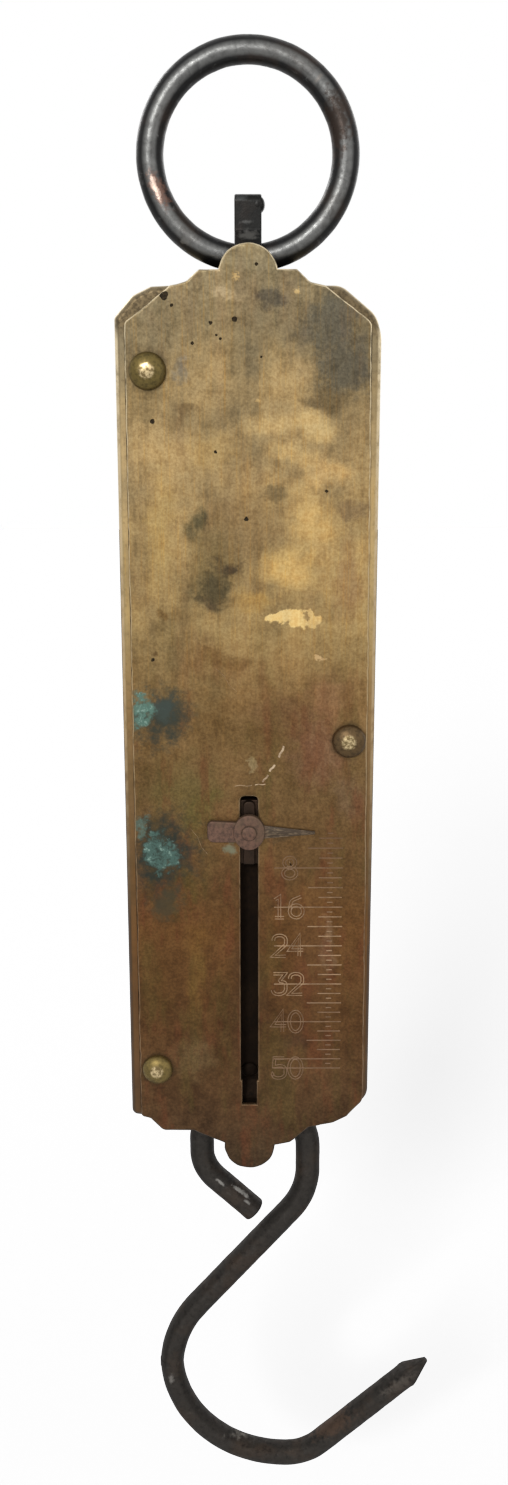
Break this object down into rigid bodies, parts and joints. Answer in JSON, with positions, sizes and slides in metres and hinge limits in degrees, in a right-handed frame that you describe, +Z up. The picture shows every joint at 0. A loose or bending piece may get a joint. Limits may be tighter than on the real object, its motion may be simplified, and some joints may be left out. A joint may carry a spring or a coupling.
{
  "type": "spring balance",
  "caption": "Flat brass-faced hanging spring balance with an iron hang ring, a slotted 0 to 50 scale with a pointer, and an iron S-hook on a sprung draw strap.",
  "frame": {"origin": "inside top of the hang ring, where a nail or hook carries it", "axes": "+Z up along the balance, -Y out of the brass face, +X to the right of the face"},
  "size_m": [0.0797, 0.0216, 0.374],
  "materials": {
    "iron": "dark worn wrought iron with brown rust tints",
    "plate_brass": "old brass with olive and brown tarnish and fine vertical brushing",
    "case_brass": "brown tarnished brass",
    "rivet_brass": "rubbed brass",
    "pointer_copper": "dull pinkish brown copper alloy",
    "steel": "dull oiled steel",
    "spring_steel": "blued spring wire"
  },
  "bodies": {
    "ring": {"ring": "iron"},
    "case": {"front_plate": "plate_brass", "back_case": "case_brass", "face_rivet_top": "rivet_brass", "spacer_top": "case_brass", "face_rivet_middle": "rivet_brass", "spacer_middle": "case_brass", "face_rivet_bottom": "rivet_brass", "spacer_bottom": "case_brass", "hanger_strap": "iron", "hanger_pin": "steel", "hanger_bridge": "steel", "bridge_rivet_left": "rivet_brass", "bridge_rivet_right": "rivet_brass", "main_spring": "spring_steel", "lower_guide": "steel", "guide_rivet_left": "rivet_brass", "guide_rivet_right": "rivet_brass"},
    "draw": {"draw_strap": "iron", "spring_pin": "steel", "pointer_block": "iron", "pointer": "pointer_copper", "pointer_rivet": "pointer_copper", "block_rivet": "steel", "pointer_spacer": "steel", "block_spacer": "steel", "neck_spacer": "steel", "neck_rivet": "steel"},
    "hook": {"hook": "iron"}
  },
  "joints": [
    {"name": "ring_swing", "type": "hinge", "parent": "ring", "child": "case", "pos_m": [0, 0, -0.04127], "axis": [1, 0, 0], "range_deg": [-85, 85]},
    {"name": "draw_slide", "type": "slide", "parent": "case", "child": "draw", "axis": [0, 0, -1], "range_m": [0, 0.0647], "stiffness_N_per_m": 3420, "springref_m": -0.001, "deforming": ["main_spring"]},
    {"name": "hook_swing", "type": "hinge", "parent": "draw", "child": "hook", "pos_m": [0, 0, -0.25448], "axis": [1, 0, 0], "range_deg": [-30, 30]}
  ]
}
